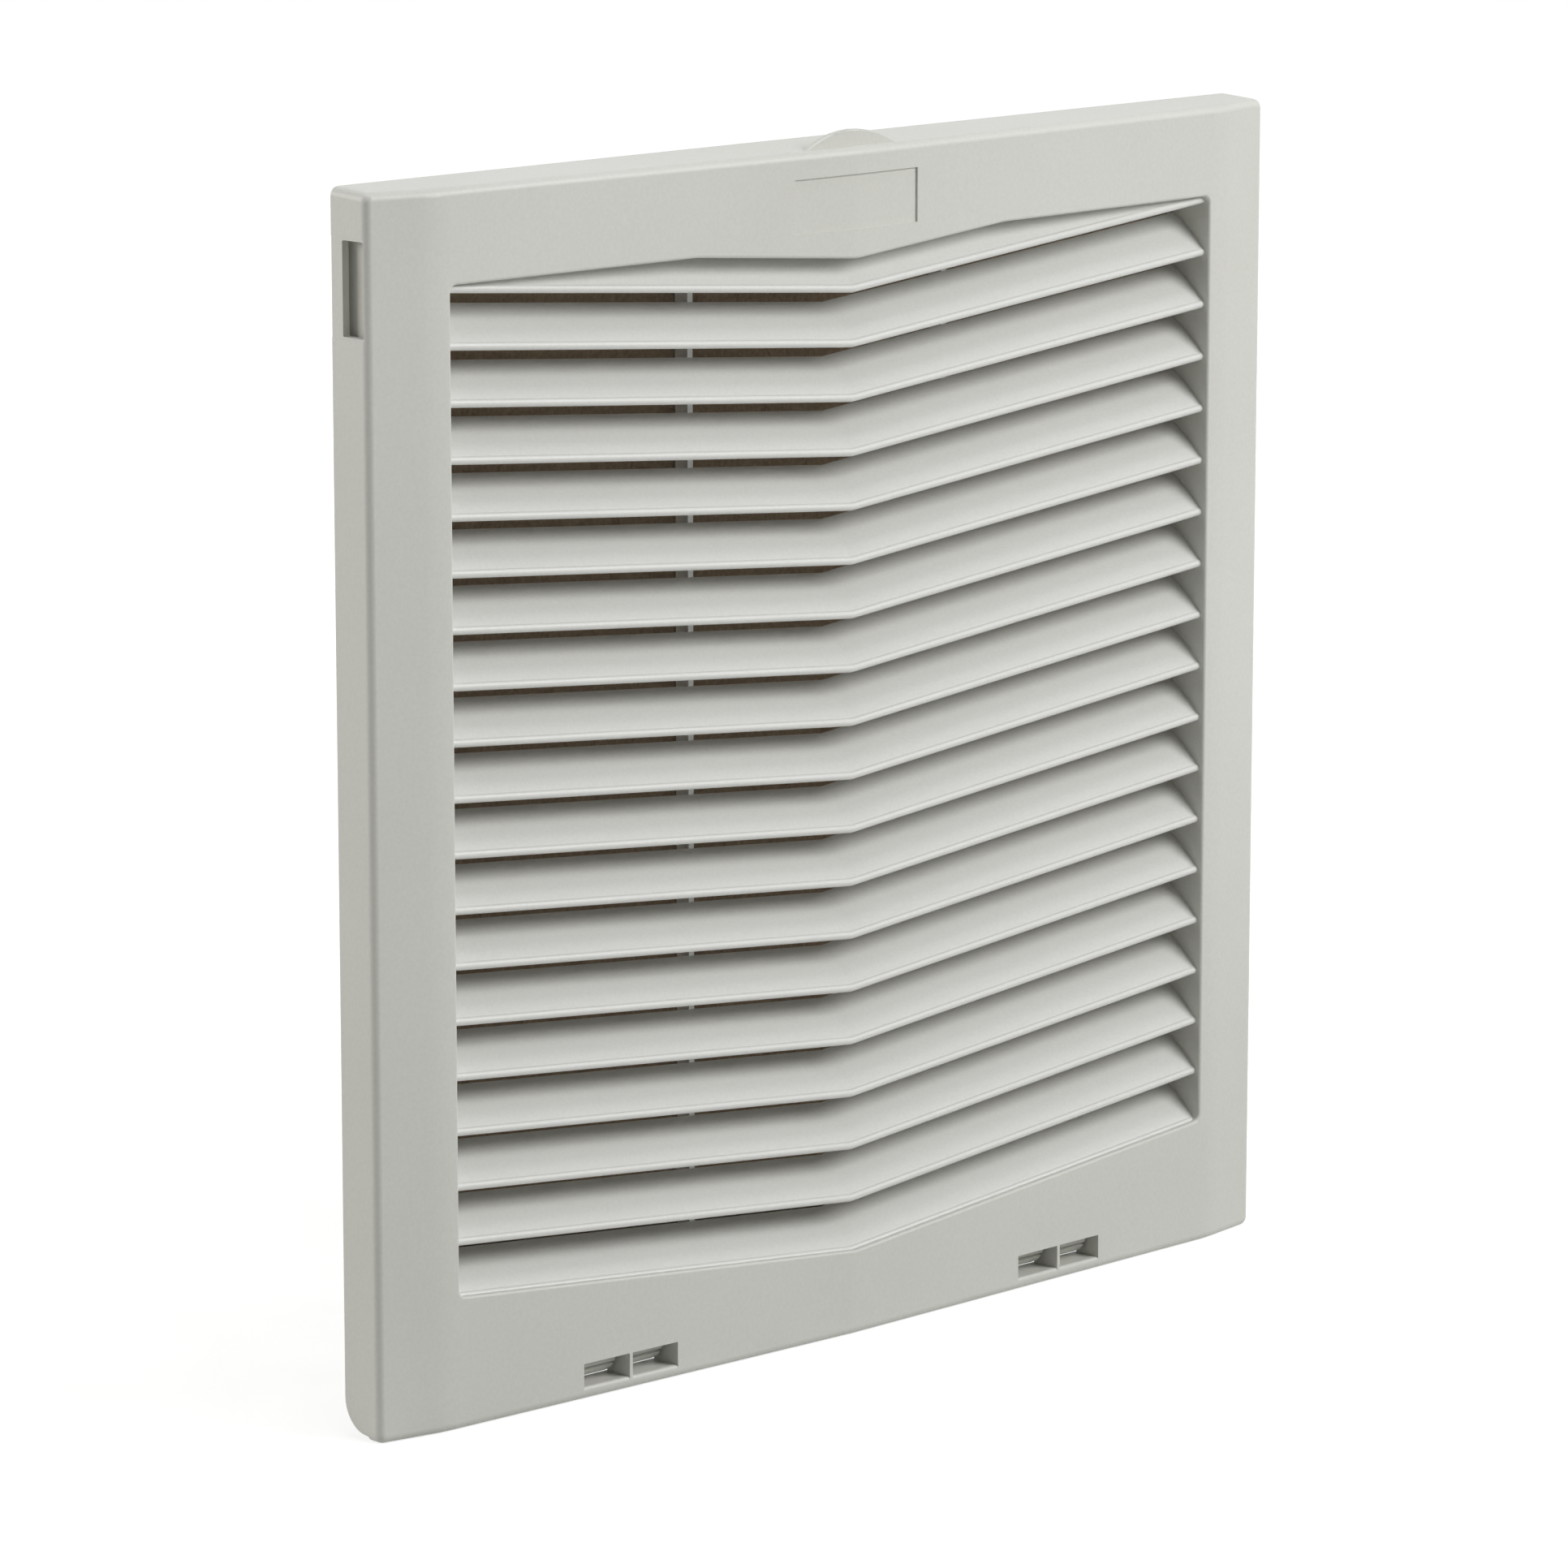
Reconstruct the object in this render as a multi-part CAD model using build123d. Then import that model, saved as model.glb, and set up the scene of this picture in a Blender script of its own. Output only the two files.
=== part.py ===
from build123d import *
import math
import os

os.makedirs("parts", exist_ok=True)

# Frame: +X to the right seen from the front, +Y into the enclosure, +Z up.
# The origin is the centre of the cut-out on the face of the enclosure's wall. All sizes are in mm.

# Louvre cover, one moulding
coverWidth = 323.0
coverHeight = 323.0
wall = 2.2
panelGap = 0.3            # air between the cover's rear edge and the enclosure
sideDepth = 13.8          # enclosure face to the front, at the side edges
bandDepth = 17.3          # the same where the sloping side bands begin
midDepth = 21.2           # the same at the upright fold in the middle
bandWidth = 19.8
bandBlend = 42.0          # radius of the soft bend between front and side band
topDraft = 3.0            # degrees, the top wall falls towards the front
cornerRadius = 2.4        # side walls to top wall and foot
frontRadius = 2.2
ledgeThickness = 3.3
ledgeLip = 0.5            # the ledge's floor ends this far in front of the hinge line
foldAngle = 5.0           # degrees, the slats fall from the sides to the middle fold

# Collar round the louvre opening, inside the base frame's passage
collarThickness = 2.0
collarSideGap = 4.15
collarTopGap = 5.05
collarFootGap = 1.5       # least gap below the collar's point, taken up to whole slats
collarRearGap = 0.2       # collar and ribs stop this far short of the filter mat
dipWidth = 111.0          # the part of the opening's top edge that dips to a point under the badge place
openingRound = 0.8
openingCorner = 2.0       # radius of the opening's outline at its four corners

# Slats
slatPitch = 14.52
slatThickness = 1.7
slatLip = 2.2             # thickness of the bead along the lip
slatTopGap = 2.1          # opening's top edge to the foot of the first lip, at the sides
slatFootRise = 1.46       # opening's bottom edge above the foot of the last lip
slatSetback = 1.6         # lip behind the front face
slatRun = 11.6            # depth of a slat behind its lip
slatLipAngle = 50.0       # degrees above level at the lip
slatRearAngle = 26.0      # degrees above level at the rear
ribSpacing = 92.0
ribThickness = 1.8
ribGrip = 0.4             # how far the ribs reach in front of the slats' rear edges

# Bare badge place, finger tab and side slots
badgeWidth = 44.3
badgeHeight = 14.5
badgeTopGap = 8.0         # from the top of the cover
badgeDepth = 0.6
tabWidth = 32.6
tabHeight = 4.5
tabThickness = 1.6
tabSetback = 2.7          # front of the tab behind the middle fold
tabRoot = 0.8             # how deep the tab's root lies in the top wall
tabRound = 0.45           # front edge of the tab's crown
sideSlotLength = 24.3
sideSlotWidth = 8.1
sideSlotTopGap = 13.0
sideSlotRearGap = 4.5
sideSlotCorner = 0.5
landDepth = 0.1           # step left round a side slot by the slide that forms it
landAbove = 0.8
landBelow = 0.5

# Hinge pockets and pins of the cover
hingeDepth = 9.2          # pin centre in front of the enclosure's face
hingeRise = 10.3          # pin centre above the cover's lowest edge
pinRadius = 2.4
pinCheek = 1.9            # flesh round the pin on the pocket walls
pocketSpacing = 159.0     # between the middles of the two pockets
pocketWidth = 32.3
pocketWall = 1.4
dividerThickness = 1.0
windowHeight = 6.4
windowGap = 0.1           # window's lower edge above the ledge's floor
windowDepth = 3.7         # windows are cut this far in from the front face
windowRound = 0.9         # front edge of the window's floor

# Base frame, one moulding
overlap = 15.5            # how far the cover reaches past the cut-out on every side
cutOutClearance = 0.75    # each side, spigot to cut-out
spigotWall = 2.2
spigotCorner = 6.0
flangeThickness = 2.5
flangeCorner = 3.0
flangeClearance = 1.2     # to the cover's inner faces
flangeFootGap = 0.8       # flange below the gasket, at the bottom edge
rimHeight = 5.0
rimThickness = 1.6
rimTopGap = 1.0           # rim below the flange's top edge
rimFootGap = 20.0         # side rims end this far above the flange's foot
hookThickness = 4.0
hookWidth = 11.6
hookClearance = 0.15
hookLipAngle = 25.0       # degrees, the hook's lip rises past level in front
hookStartAngle = 60.0     # degrees behind the lowest point of the hook
hookWebRise = 6.0         # the hook's web ends this far above the pin's centre
hookGroove = 1.1          # width of the coring grooves along the hook
hookGrooveDepth = 1.5
latticeThickness = 2.5
latticeBar = 2.4
latticePitch = 36.0

# Filter mat, gasket and panel clips
matThickness = 10.0
matClearance = 0.4
matFront = -1.0           # front face of the mat
matCorner = 3.0
gasketThickness = 2.0
gasketWidth = 5.0
gasketInset = 1.0         # gasket's inner edge outside the cut-out's edge
gasketCorner = 4.0
gasketInnerCorner = 2.0
clipsPerSide = 2
clipSpacing = 150.0
clipWidth = 14.0
clipSheet = 0.8
clipSpring = 2.6          # how far a clip's knee stands out from the spigot
clipStart = 2.9           # nearest point of the knee to the enclosure's face
clipFoot = 1.3            # length of the clip's foot in front of the knee
clipRise = 1.6            # run of the steep side of the knee
clipCrest = 1.0           # flat top of the knee
clipTail = 2.4            # flat tail of the clip
clipEnd = 10.4
clipGroove = 0.8
clipGrooveGap = 0.1

# Sizes that follow from those above
far = 2 * (coverWidth + coverHeight)
halfWidth = coverWidth / 2
halfHeight = coverHeight / 2
rearY = -panelGap
bandX = halfWidth - bandWidth
bandSlope = (bandDepth - sideDepth) / bandWidth
foldSlope = math.tan(math.radians(foldAngle))
faceSlope = (midDepth - bandDepth) / bandX
topSlope = math.tan(math.radians(topDraft))
hingeY = -hingeDepth
hingeZ = -halfHeight + hingeRise
footRadius = hingeDepth - panelGap
ledgeFloor = -halfHeight + ledgeThickness

# Distances of the base frame's and its fittings' edges inside the cover's outline
spigotInset = overlap + cutOutClearance
passageInset = spigotInset + spigotWall
matInset = passageInset + matClearance
gasketInnerInset = overlap - gasketInset
gasketOuterInset = gasketInnerInset - gasketWidth
flangeInset = wall + flangeClearance
flangeFootInset = gasketOuterInset - flangeFootGap
flangeFoot = -halfHeight + flangeFootInset
flangeRear = -gasketThickness
flangeFront = flangeRear - flangeThickness
matRear = matFront + matThickness
spigotRear = matRear + latticeThickness
collarRear = matFront - collarRearGap
hookInner = pinRadius + hookClearance
hookOuter = hookInner + hookThickness

# Opening and slats, as many as the height holds
openingHalf = halfWidth - passageInset - collarSideGap - collarThickness
openingTop = halfHeight - passageInset - collarTopGap - collarThickness
foldDrop = openingHalf * foldSlope
lowestFoot = -halfHeight + passageInset + collarFootGap + collarThickness * math.hypot(1, foldSlope) + foldDrop
slatTop = openingTop - slatTopGap
slatCount = int((slatTop + slatFootRise - lowestFoot) / slatPitch)
openingFoot = slatTop - slatCount * slatPitch + slatFootRise


def prism(points, run):
    """Flat outline of points pushed along run."""
    return Solid.extrude(Face(Wire.make_polygon([Vector(*p) for p in points])), Vector(*run))


def box(x0, x1, y0, y1, z0, z1):
    return Pos((x0 + x1) / 2, (y0 + y1) / 2, (z0 + z1) / 2) * Box(x1 - x0, y1 - y0, z1 - z0)


def insetBlock(inset, radius, y0, y1, footInset=None):
    """Block with rounded corners whose edges lie inside the cover's outline by inset."""
    x1, z1 = halfWidth - inset, halfHeight - inset
    z0 = -halfHeight + (inset if footInset is None else footInset)
    face = Face(Wire.make_polygon([Vector(x, y0, z) for x, z in ((-x1, z0), (x1, z0), (x1, z1), (-x1, z1))]))
    face = face.fillet_2d(radius, face.vertices())
    return Solid.extrude(face, Vector(0, y1 - y0, 0))


def frontY(x, inset=0.0):
    """Front face of the cover at x, moved inwards by inset."""
    ax = abs(x)
    if ax <= bandX:
        return -midDepth + faceSlope * ax + inset * math.hypot(1, faceSlope)
    return -bandDepth + bandSlope * (ax - bandX) + inset * math.hypot(1, bandSlope)


def planOutline(inset, rear):
    """Plan of the cover: two flat halves that meet at the middle fold, and a side band on each side."""
    side = halfWidth - inset
    # where the face and the side band meet after both are moved inwards
    y0 = frontY(0, inset)
    y1 = -bandDepth - bandSlope * bandX + inset * math.hypot(1, bandSlope)
    bend = (y0 - y1) / (bandSlope - faceSlope)
    bendY = y0 + faceSlope * bend
    sideY = y1 + bandSlope * side
    points = [(-side, rear), (-side, sideY), (-bend, bendY), (0, y0), (bend, bendY), (side, sideY), (side, rear)]
    face = Face(Wire.make_polygon([Vector(x, y, -far / 2) for x, y in points]))
    bends = [v for v in face.vertices() if abs(abs(v.X) - bend) < 0.01]
    return face.fillet_2d(bandBlend - inset, bends)


def coverBlock():
    """Outer form of the cover, solid, with its rounded edges."""
    block = Solid.extrude(planOutline(0, rearY), Vector(0, 0, far))
    front = rearY - 2 * midDepth
    footTop, footLow = Vector(0, rearY, hingeZ), Vector(0, hingeY, hingeZ - footRadius)
    footMiddle = Vector(0, hingeY, hingeZ) + Vector(0, 1, -1).normalized() * footRadius
    foot = ThreePointArc(footTop, footMiddle, footLow).edge()
    rest = Polyline(footLow, (0, hingeY, -halfHeight), (0, front, -halfHeight),
                    (0, front, halfHeight - 2 * midDepth * topSlope), (0, rearY, halfHeight), footTop)
    side = Pos(-far / 2, 0, 0) * Face(Wire([foot] + list(rest.edges())))
    block = block & Solid.extrude(side, Vector(far, 0, 0))
    corners = [e for e in block.edges() if abs(abs(e.center().X) - halfWidth) < 0.01
               and e.center().Y < rearY - cornerRadius and abs(e.tangent_at(0.5).Y) > 0.9
               and (e.center().Z > halfHeight - cornerRadius or e.center().Z < -halfHeight + 0.01)]
    block = fillet(corners, cornerRadius)

    def onFrontRim(e):
        c = e.center()
        atRim = abs(c.X) > halfWidth - frontRadius or abs(c.Z) > halfHeight - 2 * frontRadius
        return abs(c.Y - frontY(c.X)) < 0.9 and atRim

    return fillet([e for e in block.edges() if onFrontRim(e)], frontRadius)


def coverCavity():
    """Inside of the cover, open at the rear and behind the front ledge."""
    rear = rearY + 2 * wall
    front = rearY - 2 * midDepth
    hollow = Solid.extrude(planOutline(wall, rear), Vector(0, 0, far))
    top = halfHeight - wall
    side = [(rear, top), (rearY, top), (front, top - 2 * midDepth * topSlope), (front, ledgeFloor),
            (hingeY - ledgeLip, ledgeFloor), (hingeY - ledgeLip, -far / 2), (rear, -far / 2)]
    return hollow & prism([(-far / 2, y, z) for y, z in side], (far, 0, 0))


def openingOutline(grow):
    """The louvre opening's outline, its edges moved outwards by grow."""
    dip = dipWidth / 2
    up = grow * math.hypot(1, foldSlope)
    half = openingHalf + grow
    shift = (up - grow) / foldSlope if grow else 0.0
    return [(-half, openingTop + grow), (-dip + shift, openingTop + grow), (0, openingTop - dip * foldSlope + up),
            (dip - shift, openingTop + grow), (half, openingTop + grow),
            (half, openingFoot - up + grow * foldSlope), (0, openingFoot - foldDrop - up),
            (-half, openingFoot - up + grow * foldSlope)]


def openingPrism(grow, y0, y1):
    face = Face(Wire.make_polygon([Vector(x, y0, z) for x, z in openingOutline(grow)]))
    corners = [v for v in face.vertices() if abs(v.X) > openingHalf + grow - 0.01]
    return Solid.extrude(face.fillet_2d(openingCorner + grow, corners), Vector(0, y1 - y0, 0))


def slatSection():
    """Slat cut across: a bead about the origin, and from it a curve that flattens towards the rear."""
    a0, a1 = math.radians(slatLipAngle), math.radians(slatRearAngle)
    radius = slatRun / (math.sin(a0) - math.sin(a1))
    half, bead = slatThickness / 2, slatLip / 2
    cx, cy = radius * math.sin(a0), -radius * math.cos(a0)

    def at(angle, r):
        return Vector(cx - r * math.sin(angle), cy + r * math.cos(angle))

    def leavesBead(r):
        return a0 - math.acos((r * r + radius * radius - bead * bead) / (2 * r * radius))

    def face(r):
        start = leavesBead(r)
        return ThreePointArc(at(start, r), at((start + a1) / 2, r), at(a1, r)).edge()

    nose = ThreePointArc(at(leavesBead(radius - half), radius - half),
                         Vector(-bead * math.cos(a0), -bead * math.sin(a0)),
                         at(leavesBead(radius + half), radius + half)).edge()
    rear = Line(at(a1, radius + half), at(a1, radius - half)).edge()
    return Face(Wire([face(radius + half), rear, face(radius - half), nose]))


def slat(number):
    """Right half of one slat: it runs from the middle fold up and back to the collar."""
    run = Vector(1, faceSlope, foldSlope).normalized()
    noseY = -midDepth + slatSetback + slatLip / 2
    foot = slatTop - foldDrop - slatPitch * number
    overrun = slatRun
    start = Vector(0, noseY, foot + slatLip / 2) - run * overrun
    across = Plane(origin=start, x_dir=(-faceSlope, 1, 0), z_dir=run)
    return Solid.extrude(across.location * slatSection(), run * (openingHalf + 2 * overrun))


def ribs():
    """Upright ribs that tie the slats together at their rear edges."""
    found = []
    for x in (-ribSpacing / 2, ribSpacing / 2):
        y0 = frontY(x) + slatSetback + slatLip / 2 + slatRun - ribGrip
        top = openingTop - (dipWidth / 2 - abs(x)) * foldSlope + collarThickness / 2
        foot = openingFoot - (openingHalf - abs(x)) * foldSlope - collarThickness / 2
        found.append(box(x - ribThickness / 2, x + ribThickness / 2, y0, collarRear, foot, top))
    return found


def badgePlace():
    """Shallow bare recess above the louvre, its floor parallel to the front."""
    top = halfHeight - badgeTopGap
    front = -2 * midDepth
    return prism([(x, frontY(x, badgeDepth), top) for x in (-badgeWidth / 2, 0, badgeWidth / 2)]
                 + [(x, front, top) for x in (badgeWidth / 2, -badgeWidth / 2)], (0, 0, -badgeHeight))


def fingerTab():
    """Thin round lip on the top edge for a finger."""
    y0 = -midDepth + tabSetback
    base = halfHeight + topSlope * y0
    half = tabWidth / 2
    crown = ThreePointArc((-half, y0, base), (0, y0, base + tabHeight), (half, y0, base)).edge()
    root = Polyline((half, y0, base), (half, y0, base - tabRoot), (-half, y0, base - tabRoot), (-half, y0, base))
    tab = Solid.extrude(Face(Wire([crown] + list(root.edges()))), Vector(0, tabThickness, 0))
    front = [e for e in tab.edges() if abs(e.center().Y - y0) < 0.01 and e.center().Z > base + tabHeight / 4]
    return fillet(front, tabRound)


def sideSlots():
    """Slot through each side wall near the top, and the faint step that its slide leaves round it."""
    z1 = halfHeight - sideSlotTopGap
    z0 = z1 - sideSlotLength
    y1 = -sideSlotRearGap
    y0 = y1 - sideSlotWidth
    cuts = []
    for side in (-1, 1):
        x0, x1 = side * (halfWidth - 2 * wall), side * (halfWidth + wall)
        outline = Face(Wire.make_polygon([Vector(x0, y, z) for y, z in ((y0, z0), (y1, z0), (y1, z1), (y0, z1))]))
        outline = outline.fillet_2d(sideSlotCorner, outline.vertices())
        cuts.append(Solid.extrude(outline, Vector(x1 - x0, 0, 0)))
        landX = sorted((side * (halfWidth - landDepth), x1))
        cuts.append(box(*landX, y0, rearY + wall, z0 - landBelow, z1 + landAbove))
    return cuts


def hingePockets():
    """Walls, middle rib and pin of both hinge pockets, behind the windows of the front."""
    found = []
    reach = pinRadius + pinCheek
    root = ledgeFloor - ledgeLip
    for middle in (-pocketSpacing / 2, pocketSpacing / 2):
        plates = [(middle - pocketWidth / 2 - pocketWall, pocketWall),
                  (middle - dividerThickness / 2, dividerThickness),
                  (middle + pocketWidth / 2, pocketWall)]
        for x, thick in plates:
            front = frontY(x) + wall / 2
            outline = [(front, root), (hingeY - 2 * ledgeLip, root)]
            outline += [(hingeY + reach * math.sin(math.radians(a)), hingeZ - reach * math.cos(math.radians(a)))
                        for a in range(0, 181, 20)]
            outline += [(front, hingeZ + reach)]
            found.append(prism([(x, y, z) for y, z in outline], (thick, 0, 0)))
        found.append(Pos(middle, hingeY, hingeZ) * Rot(0, 90, 0) * Cylinder(pinRadius, pocketWidth + pocketWall))
    return found


def windows():
    """Two windows in front of each hinge pocket, a thin bar between them."""
    z0 = ledgeFloor + windowGap
    cuts = []
    for middle in (-pocketSpacing / 2, pocketSpacing / 2):
        for x0, x1 in ((middle - pocketWidth / 2, middle - dividerThickness / 2),
                       (middle + dividerThickness / 2, middle + pocketWidth / 2)):
            cuts.append(box(x0, x1, -2 * midDepth, frontY(middle) + windowDepth, z0, z0 + windowHeight))
    return cuts


def coverShell():
    """Walls, front and collar, with the opening's edge rounded on one half that is then mirrored."""
    front = -2 * midDepth
    shell = coverBlock() - coverCavity()
    shell = shell + (openingPrism(collarThickness, front, collarRear) & coverBlock())
    shell = shell - openingPrism(0, front, -front)
    right = shell & box(0, far, -far, far, -far, far)
    lowest, highest = openingFoot - foldDrop - 0.01, openingTop + 0.01
    rim = [e for e in right.edges() if abs(e.center().Y - frontY(e.center().X)) < 0.05
           and 0.01 < e.center().X < openingHalf + 0.01 and lowest < e.center().Z < highest]
    right = fillet(rim, openingRound)
    return right + mirror(right, about=Plane.YZ)


def grille():
    """All slats, the sloping foot of the opening and the ribs, ended inside the collar's walls."""
    right = [slat(number) for number in range(slatCount + 1)]
    right = right[0].fuse(*right[1:]) & box(0, far, -far, far, -far, far)
    both = right.fuse(mirror(right, about=Plane.YZ), *ribs())
    return both & openingPrism(collarThickness / 2, -2 * midDepth, collarRear)


def louvreCover():
    cover = coverShell().fuse(grille(), *hingePockets(), fingerTab())
    cover = cover - badgePlace()
    for cut in sideSlots() + windows():
        cover = cover - cut
    floor = ledgeFloor + windowGap
    sills = [e for e in cover.edges() if abs(e.center().Z - floor) < 0.01
             and abs(e.center().Y - frontY(e.center().X)) < 0.05 and abs(e.tangent_at(0.5).X) > 0.9]
    return fillet(sills, windowRound)


def hook():
    """Hook that holds the cover's pin: from the flange, under the pin and up in front of it."""
    start, end = math.radians(hookStartAngle), math.radians(-90 - hookLipAngle)

    def at(angle, r):
        return Vector(0, hingeY + r * math.sin(angle), hingeZ - r * math.cos(angle))

    def arc(r, a, b):
        return ThreePointArc(at(a, r), at((a + b) / 2, r), at(b, r)).edge()

    outline = [arc(hookOuter, start, end), Line(at(end, hookOuter), at(end, hookInner)).edge(),
               arc(hookInner, end, start), Line(at(start, hookInner), at(start, hookOuter)).edge()]
    ring = Pos(-hookWidth / 2, 0, 0) * Solid.extrude(Face(Wire(outline)), Vector(hookWidth, 0, 0))
    web = box(-hookWidth / 2, hookWidth / 2, hingeY + hookInner, flangeFront, flangeFoot, hingeZ + hookWebRise)
    for angle in (hookLipAngle, 2.4 * hookLipAngle):
        groove = Pos(0, 0, -hookOuter) * Box(2 * hookWidth, hookGroove, 2 * hookGrooveDepth)
        ring = ring - Pos(0, hingeY, hingeZ) * Rot(-angle, 0, 0) * groove
    return ring + web


def hooks():
    step = (pocketWidth + dividerThickness) / 4
    centres = [middle + side * step for middle in (-pocketSpacing / 2, pocketSpacing / 2) for side in (-1, 1)]
    return [Pos(x, 0, 0) * hook() for x in centres]


def flange():
    """Plate inside the cover's skirt, with a low rim at the top and sides."""
    plate = insetBlock(flangeInset, flangeCorner, flangeFront, flangeRear, flangeFootInset)
    side, top = halfWidth - flangeInset, halfHeight - flangeInset - rimTopGap
    rim = box(-side, side, flangeFront - rimHeight, flangeFront, flangeFoot + rimFootGap, top)
    inside = box(-side + rimThickness, side - rimThickness, flangeFront - 2 * rimHeight, flangeFront,
                 flangeFoot, top - rimThickness)
    return plate + (rim - inside)


def lattice():
    """Rear guard that the filter mat lies against."""
    bars = []
    halfX, halfZ = halfWidth - passageInset, halfHeight - passageInset
    endX, endZ = halfX + spigotWall / 2, halfZ + spigotWall / 2
    cellsX, cellsZ = round(2 * halfX / latticePitch), round(2 * halfZ / latticePitch)
    for k in range(1, cellsX):
        x = -halfX + 2 * halfX * k / cellsX
        bars.append(box(x - latticeBar / 2, x + latticeBar / 2, matRear, spigotRear, -endZ, endZ))
    for k in range(1, cellsZ):
        z = -halfZ + 2 * halfZ * k / cellsZ
        bars.append(box(-endX, endX, matRear, spigotRear, z - latticeBar / 2, z + latticeBar / 2))
    return bars


def onSpigot(shape):
    """Copies of a shape that stands on the spigot, at every panel clip's place."""
    first = -clipSpacing * (clipsPerSide - 1) / 2
    copies = []
    for turn, half in ((0, halfHeight), (90, halfWidth), (180, halfHeight), (270, halfWidth)):
        for k in range(clipsPerSide):
            copies.append(Rot(0, turn, 0) * (Pos(first + clipSpacing * k, 0, half - spigotInset) * shape))
    return copies


def clipRecess():
    half = clipWidth / 2 + clipGrooveGap
    return box(-half, half, clipStart - clipFoot - clipGrooveGap, spigotRear + 1, -clipGroove, clipSpring)


def baseFrame():
    spigot = insetBlock(spigotInset, spigotCorner, flangeFront, spigotRear)
    passage = insetBlock(passageInset, spigotCorner - spigotWall, flangeFront - 1, spigotRear + 1)
    base = (flange() + spigot) - passage
    base = base.fuse(*lattice(), *hooks())
    for recess in onSpigot(clipRecess()):
        base = base - recess
    return base


def filterMat():
    return insetBlock(matInset, matCorner, matFront, matRear)


def panelGasket():
    outer = insetBlock(gasketOuterInset, gasketCorner, flangeRear, 0)
    return outer - insetBlock(gasketInnerInset, gasketInnerCorner, flangeRear - 1, 1)


def panelClip():
    """Bent spring strip with its seat at z = -clipGroove and its knee behind the enclosure's wall."""
    low, high = -clipGroove, clipSheet - clipGroove
    crest = high + clipSpring
    knee = clipStart + clipRise
    hollow = crest - 1.1 * clipSheet
    slant = clipSheet / math.sin(math.atan2(clipSpring, clipRise))
    outline = [(clipStart - clipFoot, low), (clipStart - clipFoot, high), (clipStart, high), (knee, crest),
               (knee + clipCrest, crest), (clipEnd, high), (clipEnd, low), (clipEnd - clipTail, low),
               (clipEnd - clipTail, high), (knee + clipCrest - clipSheet / 2, hollow), (knee + clipSheet / 4, hollow),
               (clipStart + slant, high), (clipStart + slant, low)]
    return prism([(-clipWidth / 2, y, z) for y, z in outline], (clipWidth, 0, 0))


def save(name, shape):
    export_step(shape, "parts/" + name + ".step")
    print(name, "solids", len(shape.solids()), "volume", round(shape.volume, 1))


save("louvre_cover", louvreCover())
save("base_frame", baseFrame())
save("filter_mat", filterMat())
save("panel_gasket", panelGasket())
save("panel_clips", Compound(children=onSpigot(panelClip())))
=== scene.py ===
import bpy, bmesh, math, random
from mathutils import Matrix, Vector, noise


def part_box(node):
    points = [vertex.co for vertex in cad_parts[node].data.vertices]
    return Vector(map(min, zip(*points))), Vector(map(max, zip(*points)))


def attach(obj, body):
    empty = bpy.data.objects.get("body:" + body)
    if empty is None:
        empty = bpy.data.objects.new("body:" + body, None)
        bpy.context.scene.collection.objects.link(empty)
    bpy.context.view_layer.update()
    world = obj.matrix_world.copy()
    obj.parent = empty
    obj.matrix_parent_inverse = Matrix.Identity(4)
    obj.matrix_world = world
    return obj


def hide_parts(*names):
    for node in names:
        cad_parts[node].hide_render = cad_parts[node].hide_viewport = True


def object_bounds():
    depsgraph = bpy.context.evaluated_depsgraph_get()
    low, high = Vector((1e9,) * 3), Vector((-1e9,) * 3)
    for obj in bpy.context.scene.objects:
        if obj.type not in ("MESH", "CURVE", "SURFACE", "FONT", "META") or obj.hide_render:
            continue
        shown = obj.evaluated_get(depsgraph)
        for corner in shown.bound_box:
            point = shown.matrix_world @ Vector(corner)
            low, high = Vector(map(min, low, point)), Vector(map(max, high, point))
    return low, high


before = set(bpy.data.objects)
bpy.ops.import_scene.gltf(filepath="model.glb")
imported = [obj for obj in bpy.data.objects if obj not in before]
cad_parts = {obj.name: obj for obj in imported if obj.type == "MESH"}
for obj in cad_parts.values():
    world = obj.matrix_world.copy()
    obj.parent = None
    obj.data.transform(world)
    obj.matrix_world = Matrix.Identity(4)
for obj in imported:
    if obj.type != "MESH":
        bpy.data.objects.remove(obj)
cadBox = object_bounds()
mm = 0.001
print("frame loaded:", ", ".join(sorted(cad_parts)))

# Camera, seen from the front left and a little above
cameraLook = {
    "lens": 167.25,
    "place": (-1.3092, -1.4004, 0.3773),
    "turnRight": 42.92,  # degrees from the part's own depth axis
    "tiltDown": 11.50,
    "clip": (0.05, 60),
}


def makeCamera(look):
    data = bpy.data.cameras.new("camera")
    camera = bpy.data.objects.new("camera", data)
    bpy.context.scene.collection.objects.link(camera)
    bpy.context.scene.camera = camera
    data.lens = look["lens"]
    data.clip_start, data.clip_end = look["clip"]
    turn, tilt = math.radians(look["turnRight"]), math.radians(look["tiltDown"])
    forward = Vector((math.sin(turn) * math.cos(tilt), math.cos(turn) * math.cos(tilt), -math.sin(tilt)))
    camera.location = look["place"]
    camera.rotation_mode = "QUATERNION"
    camera.rotation_quaternion = forward.to_track_quat("-Z", "Y")


makeCamera(cameraLook)
print("camera made")


# Node helpers
def newMaterial(name):
    material = bpy.data.materials.new(name)
    material.use_nodes = True
    tree = material.node_tree
    for node in list(tree.nodes):
        tree.nodes.remove(node)
    output = tree.nodes.new("ShaderNodeOutputMaterial")
    return material, tree, output


def addNode(tree, kind, inputs=None, **settings):
    node = tree.nodes.new(kind)
    for key, value in settings.items():
        setattr(node, key, value)
    for key, value in (inputs or {}).items():
        if isinstance(value, bpy.types.NodeSocket):
            tree.links.new(value, node.inputs[key])
        else:
            node.inputs[key].default_value = value
    return node


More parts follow.
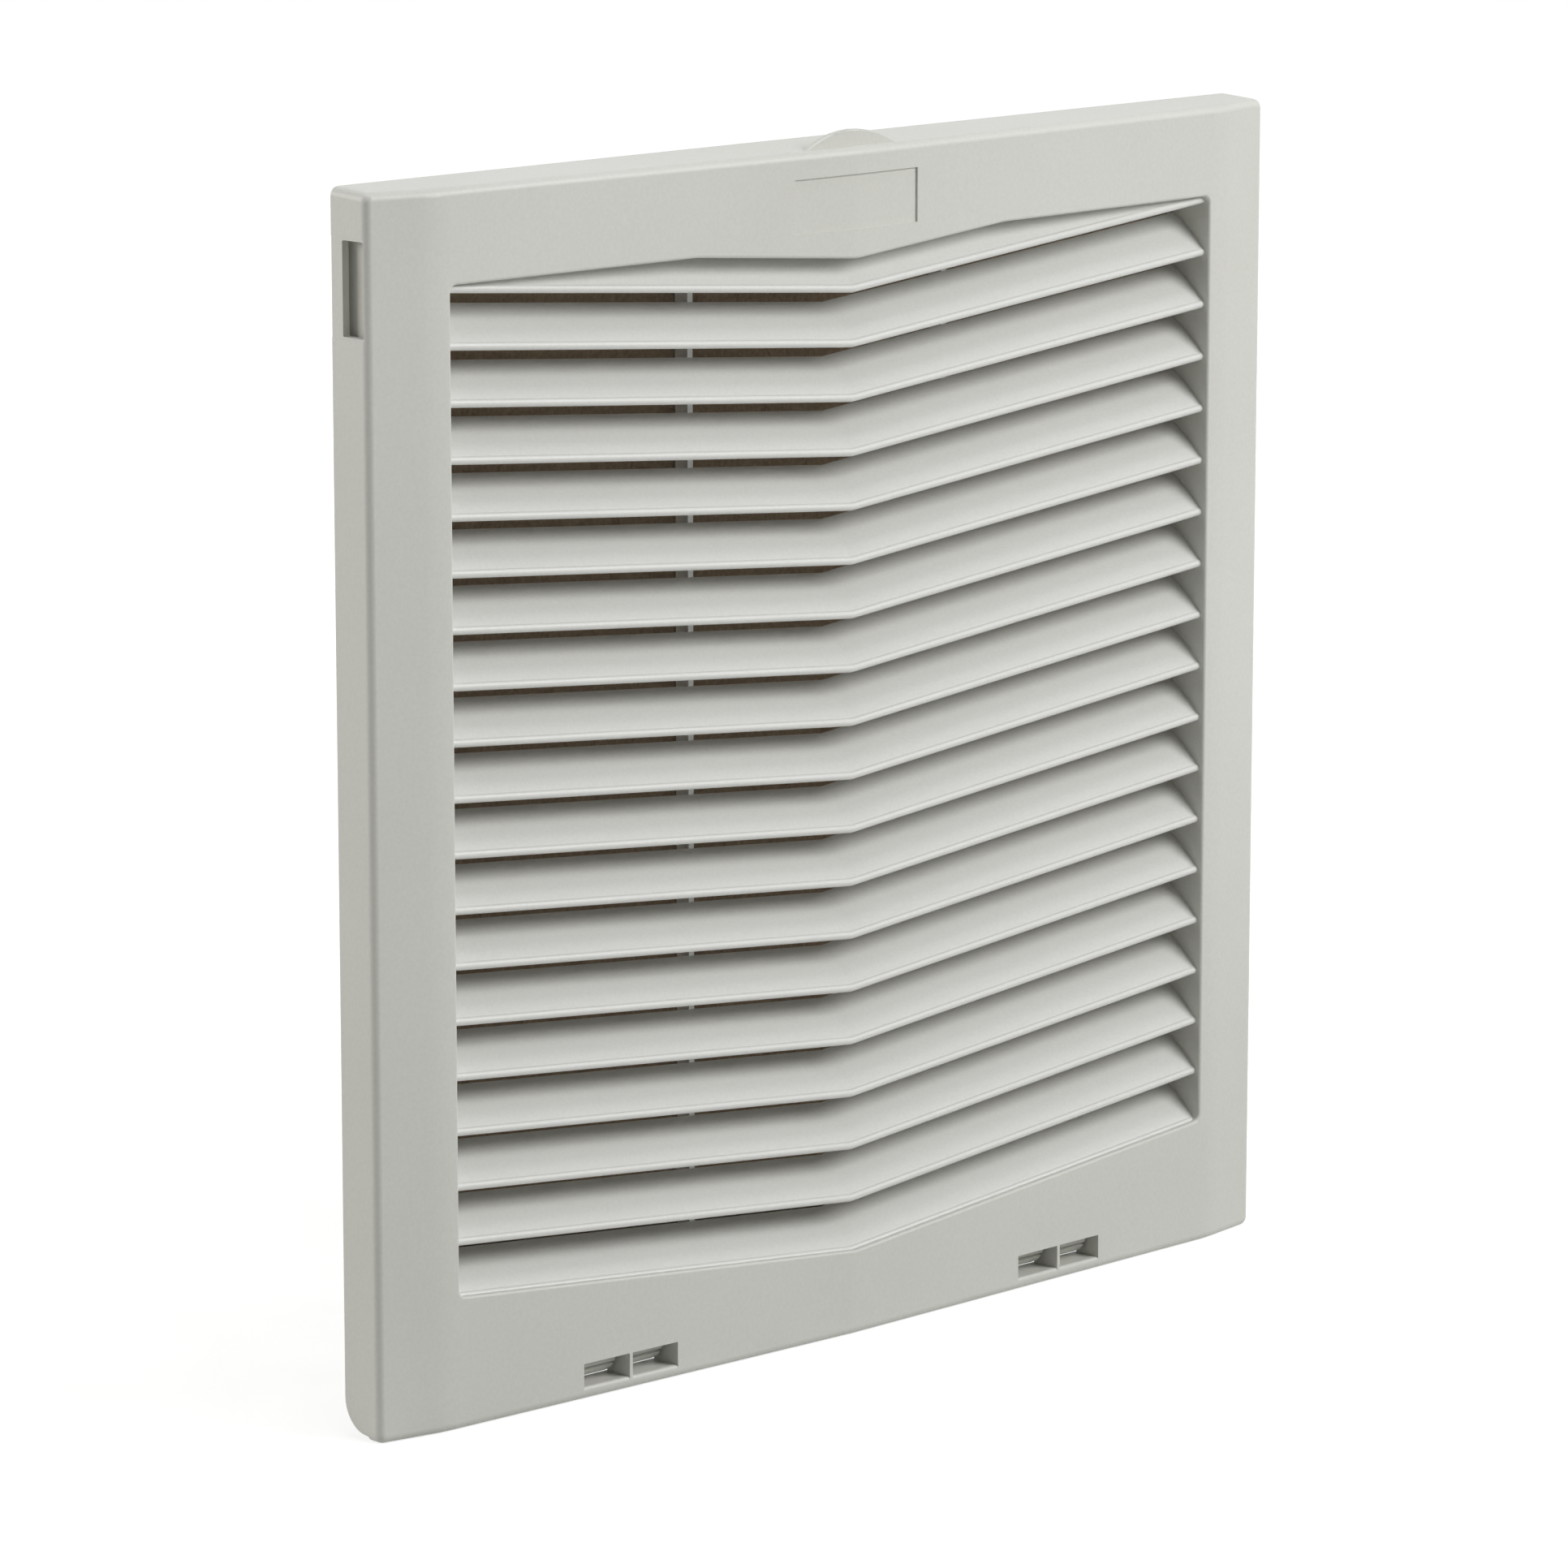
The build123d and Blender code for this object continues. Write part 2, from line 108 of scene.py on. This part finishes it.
def srgb(r, g, b):
    def one(c):
        c /= 255
        return c / 12.92 if c <= 0.04045 else ((c + 0.055) / 1.055) ** 2.4
    return (one(r), one(g), one(b), 1)


def noiseAt(tree, place, scale, detail=2.0, rough=0.5):
    return addNode(tree, "ShaderNodeTexNoise", {"Vector": place, "Scale": scale, "Detail": detail,
                                                "Roughness": rough})


def ramp(tree, value, stops):
    node = addNode(tree, "ShaderNodeValToRGB", {"Fac": value})
    while len(node.color_ramp.elements) < len(stops):
        node.color_ramp.elements.new(0.5)
    for element, (at, colour) in zip(node.color_ramp.elements, stops):
        element.position = at
        element.color = colour
    return node


def mapRange(tree, value, low, high, toLow, toHigh):
    return addNode(tree, "ShaderNodeMapRange", {"Value": value, "From Min": low, "From Max": high,
                                                "To Min": toLow, "To Max": toHigh}).outputs[0]


# Moulded plastic: a light grey with an eroded grain on the flat faces
coverFinish = {
    "pale": srgb(217, 217, 211),
    "deep": srgb(212, 212, 205),
    "grainScale": 1700.0,
    "grainDepth": 0.00003,
    "rough": (0.36, 0.50),
    "louvre": {
        # painted sheen: the slats' colour is made paler than the border's, to stand for the top light and
        # sheen they catch
        "pale": srgb(225, 225, 221),
        "gloss": 0.75,  # share of the border's roughness
        "halfWidth": 0.1361,
        "foot": -0.146,
        "top": 0.1363,
        "front": -0.0212,  # the fold in the middle
        "slope": 0.0275,  # of the front, away from the fold
        "below": 0.0010,  # the slats lie deeper than this
    },
}
frameFinish = {
    "pale": srgb(210, 210, 203),
    "deep": srgb(204, 204, 196),
    "grainScale": 1500.0,
    "grainDepth": 0.00003,
    "rough": (0.40, 0.54),
}


# Where the louvre is: its slats are smooth, and their colour is painted a little paler than the grained
# border, a painted sheen for the light from above that they catch
def louvreMask(tree, place, louvre):
    spot = addNode(tree, "ShaderNodeSeparateXYZ", {0: place}).outputs
    side = addNode(tree, "ShaderNodeMath", {0: spot["X"]}, operation="ABSOLUTE").outputs[0]
    depth = addNode(tree, "ShaderNodeMath", {0: side, 1: -louvre["slope"], 2: spot["Y"]},
                    operation="MULTIPLY_ADD").outputs[0]
    start = louvre["front"] + louvre["below"]
    soft = 0.0002
    mask = mapRange(tree, depth, start, start + 0.0003, 0.0, 1.0)
    for value, low, high in ((side, louvre["halfWidth"] + soft, louvre["halfWidth"]),
                             (spot["Z"], louvre["foot"] - soft, louvre["foot"]),
                             (spot["Z"], louvre["top"] + soft, louvre["top"])):
        inside = mapRange(tree, value, low, high, 0.0, 1.0)
        mask = addNode(tree, "ShaderNodeMath", {0: mask, 1: inside}, operation="MULTIPLY").outputs[0]
    return mask


def mouldedPlastic(name, finish):
    material, tree, output = newMaterial(name)
    place = addNode(tree, "ShaderNodeTexCoord").outputs["Object"]
    cloud = noiseAt(tree, place, 9.0, 3.0)
    speckle = noiseAt(tree, place, finish["grainScale"] * 0.6, 2.0)
    tone = ramp(tree, cloud.outputs[0], [(0.35, finish["deep"]), (0.68, finish["pale"])]).outputs[0]
    louvre = finish.get("louvre")
    if louvre:
        mask = louvreMask(tree, place, louvre)
        # painted sheen: inside the louvre the colour is mixed towards the paler slat colour
        tone = addNode(tree, "ShaderNodeMix", {0: mask, 6: tone, 7: louvre["pale"]},
                       data_type="RGBA").outputs[2]
    dots = mapRange(tree, speckle.outputs[0], 0.3, 0.7, 0.975, 1.02)
    colour = addNode(tree, "ShaderNodeVectorMath", {0: tone, "Scale": dots}, operation="SCALE")
    grain = noiseAt(tree, place, finish["grainScale"], 3.0, 0.6)
    wave = noiseAt(tree, place, 60.0, 1.0)
    fine = addNode(tree, "ShaderNodeBump", {"Strength": 0.55, "Distance": finish["grainDepth"],
                                            "Height": grain.outputs[0]})
    soft = addNode(tree, "ShaderNodeBump", {"Strength": 0.25, "Distance": 0.00004,
                                            "Height": wave.outputs[0], "Normal": fine.outputs[0]})
    rough = mapRange(tree, grain.outputs[0], 0.3, 0.7, *finish["rough"])
    if louvre:
        gloss = mapRange(tree, mask, 0.0, 1.0, 1.0, louvre["gloss"])
        rough = addNode(tree, "ShaderNodeMath", {0: rough, 1: gloss}, operation="MULTIPLY").outputs[0]
    shader = addNode(tree, "ShaderNodeBsdfPrincipled", {"Base Color": colour.outputs[0], "Roughness": rough,
                                                        "Normal": soft.outputs[0]})
    shader.inputs["IOR"].default_value = 1.46
    tree.links.new(shader.outputs[0], output.inputs[0])
    return material


# Spring strip, rolled and blanked
stripFinish = {"pale": srgb(196, 197, 199), "deep": srgb(158, 160, 164), "rough": (0.22, 0.38)}


def springStrip(name, finish):
    material, tree, output = newMaterial(name)
    place = addNode(tree, "ShaderNodeTexCoord").outputs["Object"]
    stretch = addNode(tree, "ShaderNodeMapping", {"Vector": place, "Scale": (260.0, 6000.0, 260.0)})
    lines = noiseAt(tree, stretch.outputs[0], 1.0, 4.0, 0.6)
    tone = ramp(tree, lines.outputs[0], [(0.3, finish["deep"]), (0.7, finish["pale"])])
    bump = addNode(tree, "ShaderNodeBump", {"Strength": 0.3, "Distance": 0.00001, "Height": lines.outputs[0]})
    rough = mapRange(tree, lines.outputs[0], 0.3, 0.7, *finish["rough"])
    shader = addNode(tree, "ShaderNodeBsdfPrincipled", {"Base Color": tone.outputs[0], "Roughness": rough,
                                                        "Normal": bump.outputs[0]})
    shader.inputs["Metallic"].default_value = 1.0
    tree.links.new(shader.outputs[0], output.inputs[0])
    return material


# Foam of the gasket: small closed cells
foamFinish = {"pale": srgb(62, 62, 63), "deep": srgb(34, 34, 35), "cells": 1400.0}


def foamRubber(name, finish):
    material, tree, output = newMaterial(name)
    place = addNode(tree, "ShaderNodeTexCoord").outputs["Object"]
    cells = addNode(tree, "ShaderNodeTexVoronoi", {"Vector": place, "Scale": finish["cells"]})
    tone = ramp(tree, cells.outputs["Distance"], [(0.15, finish["deep"]), (0.6, finish["pale"])])
    bump = addNode(tree, "ShaderNodeBump", {"Strength": 0.8, "Distance": 0.00025,
                                            "Height": cells.outputs["Distance"]})
    rough = mapRange(tree, cells.outputs["Distance"], 0.1, 0.7, 0.95, 0.8)
    shader = addNode(tree, "ShaderNodeBsdfPrincipled", {"Base Color": tone.outputs[0], "Roughness": rough,
                                                        "Normal": bump.outputs[0]})
    tree.links.new(shader.outputs[0], output.inputs[0])
    return material


# Bonded fibre of the filter mat
fibreFinish = {"pale": srgb(172, 154, 132), "deep": srgb(118, 100, 82), "web": 900.0}


def bondedFibre(name, finish, strand=False):
    material, tree, output = newMaterial(name)
    place = addNode(tree, "ShaderNodeTexCoord").outputs["Object"]
    web = noiseAt(tree, place, finish["web"], 5.0, 0.7)
    value = web.outputs[0]
    if strand:
        value = addNode(tree, "ShaderNodeNewGeometry").outputs["Random Per Island"]
    tone = ramp(tree, value, [(0.2, finish["deep"]), (0.85, finish["pale"])])
    bump = addNode(tree, "ShaderNodeBump", {"Strength": 0.9, "Distance": 0.0004, "Height": web.outputs[0]})
    rough = mapRange(tree, web.outputs[0], 0.2, 0.8, 0.98, 0.82)
    shader = addNode(tree, "ShaderNodeBsdfPrincipled", {"Base Color": tone.outputs[0], "Roughness": rough,
                                                        "Normal": bump.outputs[0]})
    shader.inputs["Specular IOR Level"].default_value = 0.2
    tree.links.new(shader.outputs[0], output.inputs[0])
    return material


coverPlastic = mouldedPlastic("coverPlastic", coverFinish)
framePlastic = mouldedPlastic("framePlastic", frameFinish)
clipSteel = springStrip("clipSteel", stripFinish)
gasketFoam = foamRubber("gasketFoam", foamFinish)
matFibre = bondedFibre("matFibre", fibreFinish)
matStrand = bondedFibre("matStrand", fibreFinish, strand=True)
print("materials made")


# The moulded and bent pieces keep their solid's shape and its own smooth shading
def dressNode(name, material):
    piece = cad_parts[name]
    piece.data.materials.clear()
    piece.data.materials.append(material)
    return piece


dressNode("louvre_cover", coverPlastic)
dressNode("base_frame", framePlastic)
dressNode("panel_clips", clipSteel)


def newPiece(name, mesh, material, body):
    piece = bpy.data.objects.new(name, mesh)
    bpy.context.scene.collection.objects.link(piece)
    mesh.materials.append(material)
    mesh.shade_smooth()
    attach(piece, body)
    return piece


# Filter mat: a soft slab whose faces are uneven and whose edges are rounded over
mat = {
    "grid": 72,
    "edge": 1.6 * mm,
    "rough": 0.45 * mm,
    "strands": 2600,
    "strandLength": 9.0 * mm,
    "strandRadius": 0.075 * mm,
    "strandDepth": 0.12 * mm,
    "strandMargin": 3 * mm,
}


def matSlab(setup):
    low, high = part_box("filter_mat")
    half, depth = high.x, high.y - low.y
    count = setup["grid"]
    bm = bmesh.new()
    rows = {}
    layers = 6
    centre = (low.y + high.y) / 2

    def spot(i, j, k):
        u, v, w = 2 * i / count - 1, 2 * j / count - 1, 2 * k / layers - 1
        x, z, y = u * half, v * half, centre + w * depth / 2
        rim = max(abs(u), abs(v))
        pull = setup["edge"] * max(0.0, (rim - 0.985) / 0.015) ** 2 * w * w
        x -= pull * u
        z -= pull * v
        lump = noise.noise(Vector((x * 160, z * 160, w * 7))) * 0.5 + 0.5
        lump += 0.5 * noise.noise(Vector((x * 420, z * 420, w * 3 + 5)))
        y -= w * setup["rough"] * min(1.0, max(0.0, lump)) * abs(w)
        return x, y, z

    def vertex(i, j, k):
        key = (i, j, k)
        if key not in rows:
            rows[key] = bm.verts.new(spot(i, j, k))
        return rows[key]

    for k in (0, layers):
        for i in range(count):
            for j in range(count):
                ring = [vertex(i, j, k), vertex(i + 1, j, k), vertex(i + 1, j + 1, k), vertex(i, j + 1, k)]
                bm.faces.new(ring if k == 0 else ring[::-1])
    for k in range(layers):
        for n in range(count):
            for a, b in (((n, 0), (n + 1, 0)), ((count, n), (count, n + 1)),
                         ((count - n, count), (count - n - 1, count)), ((0, count - n), (0, count - n - 1))):
                bm.faces.new([vertex(*a, k), vertex(*a, k + 1), vertex(*b, k + 1), vertex(*b, k)])
    bmesh.ops.recalc_face_normals(bm, faces=bm.faces)
    mesh = bpy.data.meshes.new("filterMat")
    bm.to_mesh(mesh)
    bm.free()
    return mesh


def matStrands(setup):
    low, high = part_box("filter_mat")
    rng = random.Random(11)
    points, faces = [], []
    half = high.x - setup["strandMargin"]
    steps = 6
    for _ in range(setup["strands"]):
        front = rng.random() < 0.5
        y = low.y + setup["strandDepth"] if front else high.y - setup["strandDepth"]
        inward = 1 if front else -1
        x, z = rng.uniform(-half, half), rng.uniform(-half, half)
        heading, bend = rng.uniform(0, math.tau), rng.uniform(-0.5, 0.5)
        length = setup["strandLength"] * rng.uniform(0.5, 1.2) / steps
        dip = rng.uniform(0.1, 0.5) * mm
        start = len(points)
        for s in range(steps + 1):
            lift = dip * (2 * s / steps - 1) ** 2
            centre = Vector((x, y + inward * lift, z))
            along = Vector((math.cos(heading), 0, math.sin(heading)))
            side = Vector((-along.z, 0, along.x))
            thick = setup["strandRadius"] * (0.6 if s in (0, steps) else 1.0)
            for turn in (90, 210, 330):
                a = math.radians(turn)
                offset = side * math.cos(a) + Vector((0, -1, 0)) * math.sin(a)
                points.append(centre + offset * thick)
            x = max(-half, min(half, x + along.x * length))
            z = max(-half, min(half, z + along.z * length))
            heading += bend + rng.uniform(-0.15, 0.15)
        for s in range(steps):
            for t in range(3):
                a, b = start + 3 * s + t, start + 3 * s + (t + 1) % 3
                faces.append((a, b, b + 3, a + 3))
    mesh = bpy.data.meshes.new("matStrands")
    mesh.from_pydata(points, [], faces)
    return mesh


slab = newPiece("filterMat", matSlab(mat), matFibre, "base")
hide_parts("filter_mat")
newPiece("matStrands", matStrands(mat), matStrand, "base")
print("filter mat made")


# Gasket: a foam strip laid round the cut-out, its two corners towards the cover rounded
gasket = {"width": 5.0 * mm, "corner": 3.0 * mm, "round": 0.7 * mm, "step": 2.0 * mm, "uneven": 0.08 * mm}


def gasketStrip(setup):
    low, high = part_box("panel_gasket")
    width = setup["width"]
    middle = high.x - width / 2
    corner = setup["corner"]
    path = []
    for quarter in range(4):
        turn = math.radians(90 * quarter)
        straight = 2 * (middle - corner)
        count = int(straight / setup["step"])
        run = [(middle, -(middle - corner) + straight * n / count, 0.0) for n in range(count)]
        run += [(middle - corner + corner * math.cos(math.radians(a)),
                 middle - corner + corner * math.sin(math.radians(a)), math.radians(a))
                for a in range(0, 90, 15)]
        for x, z, lean in run:
            path.append((x * math.cos(turn) - z * math.sin(turn),
                         x * math.sin(turn) + z * math.cos(turn), lean + turn))
    rounding = setup["round"]
    y0, y1 = low.y, high.y
    half = width / 2
    section = [(-half, y1), (-half, y0 + rounding), (-half + 0.3 * rounding, y0 + 0.3 * rounding),
               (-half + rounding, y0), (half - rounding, y0), (half - 0.3 * rounding, y0 + 0.3 * rounding),
               (half, y0 + rounding), (half, y1)]
    points, faces = [], []
    for x, z, lean in path:
        wobble = noise.noise(Vector((x * 90, z * 90, 0))) * setup["uneven"]
        for off, y in section:
            squeeze = wobble * (1 if off > 0 else -1)
            points.append((x + (off + squeeze) * math.cos(lean), y, z + (off + squeeze) * math.sin(lean)))
    size, total = len(section), len(path)
    for n in range(total):
        for k in range(size):
            a, b = n * size + k, n * size + (k + 1) % size
            c, d = ((n + 1) % total) * size + (k + 1) % size, ((n + 1) % total) * size + k
            faces.append((a, b, c, d))
    mesh = bpy.data.meshes.new("panelGasket")
    mesh.from_pydata(points, [], faces)
    bm = bmesh.new()
    bm.from_mesh(mesh)
    bmesh.ops.recalc_face_normals(bm, faces=bm.faces)
    bm.to_mesh(mesh)
    bm.free()
    return mesh


strip = newPiece("panelGasket", gasketStrip(gasket), gasketFoam, "base")
strip.data.set_sharp_from_angle(angle=math.radians(50))
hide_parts("panel_gasket")
print("gasket made")


# Pale floor and soft studio light
studio = {
    "reach": 3.0,  # half the floor's width
    "floorPale": srgb(198, 198, 196),
    "floorDeep": srgb(192, 192, 190),
    "glowNear": 0.72,  # what the camera sees added to the floor, near the part and far off
    "glowFar": 0.95,
    "air": 0.12,
    "key": {"power": 27.5, "size": 1.0, "place": (0.85, -1.47, 1.06), "tint": (1.0, 1.0, 1.0)},
    "top": {"power": 8.5, "size": 1.0, "place": (0.0, -0.13, 1.80), "tint": (0.94, 0.97, 1.0)},
    "left": {"power": 19.5, "size": 1.0, "place": (-1.52, 1.06, 0.75), "tint": (1.0, 0.98, 0.955)},
}


def whiteSeen(tree):
    path = addNode(tree, "ShaderNodeLightPath").outputs
    mirrored = addNode(tree, "ShaderNodeMath", {0: path["Is Glossy Ray"], 1: path["Is Transmission Ray"]},
                       operation="MAXIMUM")
    return addNode(tree, "ShaderNodeMath", {0: path["Is Camera Ray"], 1: mirrored.outputs[0]},
                   operation="MAXIMUM").outputs[0]


def paleFloor(setup):
    mesh = bpy.data.meshes.new("floor")
    level = cadBox[0].z - 0.0001
    reach = setup["reach"]
    mesh.from_pydata([(-reach, -reach, level), (reach, -reach, level), (reach, reach, level),
                      (-reach, reach, level)], [], [(0, 1, 2, 3)])
    floor = bpy.data.objects.new("floor", mesh)
    bpy.context.scene.collection.objects.link(floor)
    material, tree, output = newMaterial("floorPaper")
    seen = whiteSeen(tree)
    place = addNode(tree, "ShaderNodeTexCoord").outputs["Object"]
    fleck = noiseAt(tree, place, 40.0)
    tone = ramp(tree, fleck.outputs[0], [(0.3, setup["floorDeep"]), (0.7, setup["floorPale"])])
    paper = addNode(tree, "ShaderNodeBsdfDiffuse", {"Color": tone.outputs[0]})
    away = addNode(tree, "ShaderNodeVectorMath", {0: place}, operation="LENGTH")
    level = mapRange(tree, away.outputs["Value"], 0.5, 1.6, setup["glowNear"], setup["glowFar"])
    glow = addNode(tree, "ShaderNodeEmission", {"Color": (1, 1, 1, 1), "Strength": level})
    bright = addNode(tree, "ShaderNodeAddShader", {0: paper.outputs[0], 1: glow.outputs[0]})
    mixed = addNode(tree, "ShaderNodeMixShader", {0: seen, 1: paper.outputs[0], 2: bright.outputs[0]})
    tree.links.new(mixed.outputs[0], output.inputs[0])
    mesh.materials.append(material)


def softLamp(name, setup):
    data = bpy.data.lights.new(name, "AREA")
    data.energy, data.shape, data.size = setup["power"], "SQUARE", setup["size"]
    data.color = setup["tint"]
    lamp = bpy.data.objects.new(name, data)
    bpy.context.scene.collection.objects.link(lamp)
    lamp.location = setup["place"]
    lamp.rotation_mode = "QUATERNION"
    lamp.rotation_quaternion = (-Vector(setup["place"])).to_track_quat("-Z", "Y")


def whiteAir(strength):
    world = bpy.data.worlds.new("studioAir")
    bpy.context.scene.world = world
    world.use_nodes = True
    tree = world.node_tree
    for node in list(tree.nodes):
        tree.nodes.remove(node)
    output = addNode(tree, "ShaderNodeOutputWorld")
    level = mapRange(tree, whiteSeen(tree), 0.0, 1.0, strength, 1.0)
    air = addNode(tree, "ShaderNodeBackground", {"Color": (1, 1, 1, 1), "Strength": level})
    tree.links.new(air.outputs[0], output.inputs[0])


paleFloor(studio)
for lampName in ("key", "top", "left"):
    softLamp(lampName + "Lamp", studio[lampName])
whiteAir(studio["air"])
bpy.context.scene.view_settings.view_transform = "Standard"
print("studio made")
